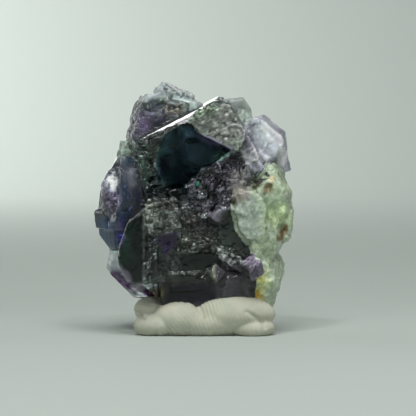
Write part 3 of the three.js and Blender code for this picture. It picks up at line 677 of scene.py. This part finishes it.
def noise_node(tree, where, scale, detail):
    node = tree.nodes.new("ShaderNodeTexNoise")
    sockets(node, Scale=scale, Detail=detail)
    tree.links.new(where, node.inputs["Vector"])
    return node.outputs["Fac"]


def vector_node(tree, operation, first, second, output="Vector"):
    node = tree.nodes.new("ShaderNodeVectorMath")
    node.operation = operation
    tree.links.new(first, node.inputs[0])
    if isinstance(second, tuple):
        node.inputs[1].default_value = second
    else:
        tree.links.new(second, node.inputs[1])
    return node.outputs[output]


def facet_nodes(tree, where, scale):
    """Small squarish facets at odd tilts: their heights in millimetres, and a colour for each."""
    cells = tree.nodes.new("ShaderNodeTexVoronoi")
    cells.distance = "CHEBYCHEV"
    sockets(cells, Scale=scale)
    tree.links.new(where, cells.inputs["Vector"])
    away = vector_node(tree, "SUBTRACT", where, cells.outputs["Position"])
    lean = vector_node(tree, "SUBTRACT", cells.outputs["Color"], (0.5, 0.5, 0.5))
    height = vector_node(tree, "DOT_PRODUCT", away, lean, "Value")
    return height, cells.outputs["Color"]


def ramp_node(tree, source, stops):
    ramp = tree.nodes.new("ShaderNodeValToRGB")
    elements = ramp.color_ramp.elements
    while len(elements) < len(stops):
        elements.new(0.5)
    for element, (place, colour) in zip(elements, stops):
        element.position = place
        element.color = (*colour, 1)
    tree.links.new(source, ramp.inputs["Fac"])
    return ramp.outputs["Color"]


def grey_ramp(tree, source, stops):
    return ramp_node(tree, source, [(place, (value, value, value)) for place, value in stops])


def math_node(tree, operation, first, second, third=None):
    node = tree.nodes.new("ShaderNodeMath")
    node.operation = operation
    for socket, value in zip(node.inputs, (first, second, third)):
        if isinstance(value, (int, float)):
            socket.default_value = value
        elif value is not None:
            tree.links.new(value, socket)
    return node.outputs[0]


def within_one(tree, value):
    """A value kept from 0 to 1."""
    return math_node(tree, "MINIMUM", math_node(tree, "MAXIMUM", value, 0.0), 1.0)


def product_node(tree, first, second):
    mix = tree.nodes.new("ShaderNodeMix")
    mix.data_type = "RGBA"
    mix.blend_type = "MULTIPLY"
    mix.inputs["Factor"].default_value = 1.0
    tree.links.new(first, mix.inputs["A"])
    tree.links.new(second, mix.inputs["B"])
    return mix.outputs["Result"]


def mix_node(tree, amount, first, second):
    mix = tree.nodes.new("ShaderNodeMix")
    mix.data_type = "RGBA"
    tree.links.new(amount, mix.inputs["Factor"])
    tree.links.new(first, mix.inputs["A"])
    tree.links.new(second, mix.inputs["B"])
    return mix.outputs["Result"]


def bump_node(tree, source, strength, distance):
    bump = tree.nodes.new("ShaderNodeBump")
    sockets(bump, Distance=distance)
    tree.links.new(source, bump.inputs["Height"])
    if isinstance(strength, float):
        sockets(bump, Strength=strength)
    else:
        tree.links.new(strength, bump.inputs["Strength"])
    return bump.outputs["Normal"]


def absorb_node(tree, colour, density):
    absorb = tree.nodes.new("ShaderNodeVolumeAbsorption")
    sockets(absorb, Color=(*colour, 1), Density=density)
    tree.links.new(absorb.outputs["Volume"], tree.nodes["Material Output"].inputs["Volume"])


def crystal_material():
    """Clear crystal with its own tint and gloss at each point, mottled and faceted where it is etched."""
    material, tree, shader = new_material("fluorite_crystal")
    place = place_node(tree)
    own = attribute_node(tree, "own")["Vector"]
    etched = attribute_node(tree, "etch")["Fac"]
    tint = attribute_node(tree, "tint")
    sockets(shader, IOR=FLUORITE_IOR)
    broad, _ = facet_nodes(tree, own, scale=1.1)
    narrow, narrow_tone = facet_nodes(tree, own, scale=2.9)
    cloud = noise_node(tree, place, scale=800, detail=5)
    along = vector_node(tree, "MULTIPLY", own, (0.9, 1.6, 3.0))
    speck = noise_node(tree, along, scale=1.9, detail=4)
    veil = grey_ramp(tree, cloud, [(0.38, 0.15), (0.5, 0.75), (0.64, 2.4)])
    grain = grey_ramp(tree, speck, [(0.38, 0.12), (0.5, 0.60), (0.63, 1.9)])
    mosaic = grey_ramp(tree, narrow_tone, [(0.2, 0.8), (0.5, 1.0), (0.8, 1.2)])
    mottled = tint["Color"]
    for layer in (veil, grain, mosaic):
        mottled = product_node(tree, mottled, layer)
    amount = math_node(tree, "MULTIPLY", math_node(tree, "SUBTRACT", etched, MOTTLE_START), MOTTLE_GAIN)
    darkness = math_node(tree, "SUBTRACT", MOTTLE_END, tint["Fac"])
    amount = math_node(tree, "MULTIPLY", within_one(tree, amount), darkness)
    tree.links.new(mix_node(tree, amount, tint["Color"], mottled), shader.inputs["Base Color"])
    fine = noise_node(tree, place, scale=1500, detail=4)
    rough = math_node(tree, "MULTIPLY_ADD", fine, ROUGH_SWING, attribute_node(tree, "gloss")["Fac"])
    rough = math_node(tree, "SUBTRACT", rough, ROUGH_SWING / 2)
    tree.links.new(math_node(tree, "MAXIMUM", rough, ROUGH_LEAST), shader.inputs["Roughness"])
    tree.links.new(attribute_node(tree, "clear")["Fac"], shader.inputs["Transmission Weight"])
    relief = math_node(tree, "ADD", broad, narrow)
    relief = math_node(tree, "MULTIPLY_ADD", speck, 0.12, relief)
    strength = within_one(tree, math_node(tree, "MULTIPLY_ADD", etched, 2.4, -0.3))
    tree.links.new(bump_node(tree, relief, strength, distance=MM), shader.inputs["Normal"])
    absorb_node(tree, (0.60, 0.72, 0.74), density=55)
    return material


def massive_material():
    """Cloudy massive fluorite with a sugary grain."""
    material, tree, shader = new_material("fluorite_massive")
    place = place_node(tree)
    mottle = ramp_node(tree, noise_node(tree, place, scale=1100, detail=8), [
        (0.30, (0.70, 0.75, 0.65)),
        (0.46, (0.94, 0.96, 0.92)),
        (0.58, (1.05, 1.04, 1.05)),
        (0.72, (1.28, 1.24, 1.28)),
    ])
    sugar = noise_node(tree, place, scale=2400, detail=3)
    sugar = grey_ramp(tree, sugar, [(0.36, 0.87), (0.5, 0.98), (0.62, 1.20)])
    colour = product_node(tree, attribute_node(tree, "tint")["Color"], mottle)
    tree.links.new(product_node(tree, colour, sugar), shader.inputs["Base Color"])
    sockets(shader, Roughness=0.16, IOR=FLUORITE_IOR, Subsurface_Weight=0.3, Subsurface_Scale=0.0006)
    sockets(shader, Subsurface_Radius=(0.75, 1.0, 0.75))
    grain = noise_node(tree, place, scale=1500, detail=8)
    tree.links.new(bump_node(tree, grain, 0.6, distance=0.00022), shader.inputs["Normal"])
    return material


corner_massive = massive[triangles].sum(1) >= 2
skin_materials = [crystal_material(), massive_material()]
skin = piece("fluorite_cluster_crystal", points, triangles, skin_materials, 60, corner_massive)
for label, values in (("gloss", finish[:, 0]), ("clear", finish[:, 1]), ("etch", finish[:, 2])):
    layer = skin.data.attributes.new(label, "FLOAT", "POINT")
    layer.data.foreach_set("value", values.astype(np.float32))
layer = skin.data.attributes.new("own", "FLOAT_VECTOR", "POINT")
layer.data.foreach_set("vector", local.astype(np.float32).ravel())
layer = skin.data.attributes.new("tint", "FLOAT_COLOR", "POINT")
layer.data.foreach_set("color", np.hstack([tint, np.ones((len(tint), 1))]).astype(np.float32).ravel())
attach(skin, "root")
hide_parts("fluorite_cluster")

# Phantom zones, the coloured ghosts of earlier growth inside the crystals: crystal, how far inside its
# faces, absorption colour and density, and further cuts
PHANTOM_LINE = [((-11.2, 3.0, 7.4), (0.5, 0, 0.86)), ((-11.5, 3.0, 6.9), (-0.5, 0, -0.86))]
LILAC_EDGE = [((9.9, 0.9, 27.4), (-0.8, 0, -0.6))]
PHANTOMS = {
    "phantom_main": ("main_cube", 0.4, (0.06, 0.16, 0.24), 800, []),
    "phantom_lower": ("lower_cube", 0.35, (0.08, 0.20, 0.15), 800, []),
    "phantom_right": ("right_cube", 0.4, (0.18, 0.26, 0.25), 600, []),
    "phantom_foot": ("foot", 0.35, (0.18, 0.12, 0.26), 700, []),
    "phantom_upper": ("upper_left", 0.6, (0.40, 0.28, 0.54), 500, []),
    "phantom_left": ("left_block", 0.45, (0.30, 0.34, 0.62), 500, []),
    "phantom_shoulder": ("left_shoulder", 0.5, (0.26, 0.32, 0.46), 500, []),
    "phantom_link": ("left_link", 0.4, (0.24, 0.20, 0.46), 600, []),
    "phantom_low_left": ("left_lower", 0.5, (0.26, 0.36, 0.70), 500, []),
    "phantom_rear_upper": ("rear_upper", 0.5, (0.16, 0.26, 0.24), 600, []),
    "phantom_rear_left": ("rear_left", 0.5, (0.24, 0.28, 0.50), 600, []),
    "phantom_rear_right": ("rear_right", 0.5, (0.18, 0.26, 0.25), 600, []),
    "phantom_line": ("clear_cube", 0.35, (0.52, 0.16, 0.60), 1500, PHANTOM_LINE),
    "phantom_lilac": ("lilac_cube", 0.35, (0.52, 0.32, 0.74), 500, LILAC_EDGE),
}


def phantom_material(name, colour, density):
    """Only absorbs: it has the index of what surrounds it, so its border bends no light."""
    material, tree, shader = new_material(name)
    sockets(shader, IOR=1.0, Transmission_Weight=1.0, Roughness=0.0, Base_Color=(1, 1, 1, 1))
    absorb_node(tree, colour, density)
    return material


def cut_box(crystal, inset, cuts):
    """A crystal's box drawn in by the inset, without what lies beyond its breaks and the given cuts."""
    at, size, turn, _ = CRYSTALS[crystal]
    made = bmesh.new()
    bmesh.ops.create_cube(made, size=1.0)
    for vert in made.verts:
        vert.co = turned(turn) @ (np.array(vert.co) * (np.array(size) - 2 * inset)) + np.array(at)
    planes = []
    for spot, out in BREAKS.get(crystal, []):
        planes.append((np.array(spot) - inset * np.array(Vector(out).normalized()), out))
    for spot, out in planes + cuts:
        geometry = made.verts[:] + made.edges[:] + made.faces[:]
        found = bmesh.ops.bisect_plane(made, geom=geometry, plane_co=spot, plane_no=out, clear_outer=True)
        rim = [edge for edge in found["geom_cut"] if isinstance(edge, bmesh.types.BMEdge)]
        if rim:
            bmesh.ops.edgeloop_fill(made, edges=rim)
    bmesh.ops.triangulate(made, faces=made.faces[:])
    bmesh.ops.recalc_face_normals(made, faces=made.faces[:])
    made.verts.index_update()
    corners = np.array([vert.co[:] for vert in made.verts])
    sides = np.array([[vert.index for vert in face.verts] for face in made.faces])
    made.free()
    return corners, sides


for name, (crystal, inset, colour, density, cuts) in PHANTOMS.items():
    zone = piece(name, *cut_box(crystal, inset, cuts), [phantom_material(name, colour, density)], 10)
    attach(zone, "root")


# The putty pad: blended lobes on a flat underside, with folds and finger furrows pressed into it
PAD_MIDDLE = np.array([0.0, -0.4, 1.4])
PAD_BLEND = 0.16
PAD_DETAIL = 7
# Furrows: fan on the left (middle, spacing), columns on the right (lean, spacing), where they meet, depth
FAN_MIDDLE = (-8.6, -2.4)
FAN_SPACING = 0.52
COLUMN_LEAN = 0.35
COLUMN_SPACING = 0.54
MEET_X = -1.6
MEET_BLEND = 0.5
FURROW_DEPTH = 0.05
# Patches where the furrows show: mean share, swing, size and seed; and the swells (size, height, seed)
PATCH_MEAN = 0.6
PATCH_SWING = 0.9
PATCH_SIZE = 2.6
PATCH_SEED = 31
SWELLS = [(2.4, 0.10, 32), (0.5, 0.02, 33)]
# Folds as seen from the front: width, and the route and depth of each
FOLD_WIDTH = 0.28
FOLDS = [
    ([(-9.4, 2.8), (-8.3, 1.9)], 0.42),
    ([(-6.6, 1.0), (-6.6, -0.5)], 0.22),
    ([(-1.5, 4.4), (-0.6, 3.2), (0.1, 2.0)], 0.30),
    ([(5.9, 2.8), (8.1, 1.4), (8.5, 0.6)], 0.30),
]


def pad_reach(way):
    """How far the pad reaches from its middle along each direction."""
    reaches = []
    for at, radii in PUTTY_LOBES:
        start = (PAD_MIDDLE - np.array(at)) / np.array(radii)
        along = way / np.array(radii)
        a = (along * along).sum(1)
        b = along @ start
        c = start @ start - 1
        root = b * b - a * c
        reaches.append(np.where(root > 0, (-b + np.sqrt(np.maximum(root, 0))) / a, 0.0))
    reaches = np.array(reaches)
    peak = reaches.max(0)
    return peak + PAD_BLEND * np.log(np.exp((reaches - peak) / PAD_BLEND).sum(0))


def ball(detail):
    """A ball of radius 1 in even triangles."""
    made = bmesh.new()
    bmesh.ops.create_icosphere(made, subdivisions=detail, radius=1.0)
    spots = np.array([v.co[:] for v in made.verts])
    sides = np.array([[v.index for v in f.verts] for f in made.faces])
    made.free()
    return spots / np.linalg.norm(spots, axis=1, keepdims=True), sides


def fold_depth(route, across, up):
    """How deep a fold along a route in the front view is at each point, from 0 to 1."""
    return np.exp(-(line_distance(route, across, up) / FOLD_WIDTH) ** 2)


way, sides = ball(PAD_DETAIL)
reach = pad_reach(way)
floor_reach = np.where(way[:, 2] < -1e-6, PAD_MIDDLE[2] / np.maximum(-way[:, 2], 1e-6), FAR)
flat = floor_reach < reach
pad = PAD_MIDDLE + way * np.minimum(reach, floor_reach)[:, None]
normal = normals_of(pad, sides)
fan = np.hypot(pad[:, 0] - FAN_MIDDLE[0], pad[:, 2] - FAN_MIDDLE[1]) / FAN_SPACING
column = (pad[:, 0] + COLUMN_LEAN * pad[:, 2]) / COLUMN_SPACING
left = 1 / (1 + np.exp((pad[:, 0] - MEET_X) / MEET_BLEND))
furrow = left * np.sin(2 * np.pi * fan) + (1 - left) * np.sin(2 * np.pi * column)
patch = np.clip(PATCH_MEAN + PATCH_SWING * noise(pad, PATCH_SIZE, PATCH_SEED), 0, 1)
rise = FURROW_DEPTH * furrow * patch + noise_layers(pad, SWELLS)
pad_up = pad[:, 2] + math.tan(CAMERA_RISE) * pad[:, 1]
for route, depth in FOLDS:
    rise -= depth * fold_depth(route, pad[:, 0], pad_up) * (pad[:, 1] < 0)
pad = np.where(flat[:, None], pad, pad + normal * rise[:, None])
pad[:, 2] = np.maximum(pad[:, 2], 0.0)


def putty_material():
    """Dull off-white putty with a fine grain."""
    material, tree, shader = new_material("mineral_putty")
    place = place_node(tree)
    cloud = noise_node(tree, place, scale=300, detail=5)
    colour = ramp_node(tree, cloud, [(0.30, (0.43, 0.45, 0.36)), (0.70, (0.54, 0.55, 0.44))])
    tree.links.new(colour, shader.inputs["Base Color"])
    sockets(shader, Roughness=0.86, Subsurface_Weight=0.12, Subsurface_Scale=0.0006)
    grain = noise_node(tree, place, scale=3200, detail=6)
    tree.links.new(bump_node(tree, grain, 0.3, distance=0.00008), shader.inputs["Normal"])
    return material


putty = piece("putty_pad", pad, sides, [putty_material()], 60)
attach(putty, "root")
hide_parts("putty")


# Studio: a pale floor that sweeps up to a wall far behind, soft lights and the camera
FLOOR_HALF_WIDTH = 0.32
FLOOR_FRONT = -0.32
BEND_START = 0.40
BEND_RADIUS = 0.20
WALL_TOP = 0.55
BEND_STEPS = 16


def sweep_mesh():
    """The floor, the bend and the wall in one strip."""
    profile = [(FLOOR_FRONT, 0.0)]
    for n in range(BEND_STEPS + 1):
        angle = math.radians(90 * n / BEND_STEPS)
        profile.append((BEND_START + BEND_RADIUS * math.sin(angle), BEND_RADIUS * (1 - math.cos(angle))))
    profile.append((BEND_START + BEND_RADIUS, WALL_TOP))
    rows = np.array([(x, y, z) for y, z in profile for x in (-FLOOR_HALF_WIDTH, FLOOR_HALF_WIDTH)]) / MM
    quads = []
    for n in range(len(profile) - 1):
        a = 2 * n
        quads += [[a, a + 1, a + 3], [a, a + 3, a + 2]]
    return rows, np.array(quads)


sweep_material, _, shader = new_material("pale_sweep")
sockets(shader, Roughness=0.8, Base_Color=(0.46, 0.51, 0.475, 1))
sweep = piece("studio_sweep", *sweep_mesh(), [sweep_material], 180)


def soft_light(name, place, aim, size, radiance, spread):
    """A rectangular light of the given brightness and spread in degrees, which the camera doesn't see."""
    lamp = bpy.data.lights.new(name, "AREA")
    lamp.shape = "RECTANGLE"
    lamp.size, lamp.size_y = size
    lamp.energy = radiance * math.pi * size[0] * size[1]
    lamp.spread = math.radians(spread)
    obj = bpy.data.objects.new(name, lamp)
    obj.location = place
    obj.rotation_euler = (Vector(aim) - Vector(place)).to_track_quat("-Z", "Y").to_euler()
    obj.visible_camera = False
    bpy.context.scene.collection.objects.link(obj)


# Lights: place and aim in metres, width and height, brightness, spread in degrees
SPECIMEN = (0, 0, 0.02)
LIGHTS = {
    "top_light": ((0.03, -0.08, 0.28), SPECIMEN, (0.15, 0.13), 6.5, 180),
    "front_top_light": ((-0.04, -0.31, 0.28), SPECIMEN, (0.08, 0.06), 13.0, 180),
    "front_left_light": ((-0.18, -0.39, 0.16), SPECIMEN, (0.04, 0.04), 32.0, 180),
    "front_right_light": ((0.19, -0.36, 0.20), SPECIMEN, (0.04, 0.04), 27.0, 180),
    "key_lamp": ((0.10, -0.22, 0.36), SPECIMEN, (0.02, 0.02), 100, 180),
    "bevel_light": ((-0.079, -0.174, 0.315), SPECIMEN, (0.042, 0.042), 44, 180),
    "wall_light": ((-0.34, 0.42, 0.22), (0.0, 0.50, 0.02), (0.20, 0.20), 9.8, 118),
    "back_light": ((-0.025, 0.36, 0.036), (0, 0, 0.03), (0.12, 0.045), 0.02, 16),
    "left_light": ((-0.26, 0.12, 0.08), SPECIMEN, (0.12, 0.16), 2.0, 180),
    "right_light": ((0.26, 0.08, 0.12), SPECIMEN, (0.08, 0.12), 1.6, 180),
}
for name, light in LIGHTS.items():
    soft_light(name, *light)

world = bpy.data.worlds.new("studio")
bpy.context.scene.world = world
world.use_nodes = True
sockets(world.node_tree.nodes["Background"], Color=(0.86, 0.92, 0.88, 1), Strength=0.12)

CAMERA_DISTANCE = 0.470
CAMERA_AIM = Vector((0.56 * MM, 0, 17.4 * MM))
MM_PER_PIXEL = 0.14
PICTURE_PIXELS = 416
SENSOR_WIDTH = 36
camera_data = bpy.data.cameras.new("camera")
camera = bpy.data.objects.new("camera", camera_data)
bpy.context.scene.collection.objects.link(camera)
camera.location = (0, -CAMERA_DISTANCE * math.cos(CAMERA_RISE), CAMERA_DISTANCE * math.sin(CAMERA_RISE))
sight = CAMERA_AIM - camera.location
camera.rotation_euler = sight.to_track_quat("-Z", "Y").to_euler()
camera_data.sensor_width = SENSOR_WIDTH
camera_data.lens = SENSOR_WIDTH * sight.length / (PICTURE_PIXELS * MM_PER_PIXEL * MM)
camera_data.clip_start = 0.01
bpy.context.scene.camera = camera

scene = bpy.context.scene
scene.view_settings.view_transform = "Standard"
scene.cycles.max_bounces = 24
scene.cycles.transmission_bounces = 24
scene.cycles.transparent_max_bounces = 32
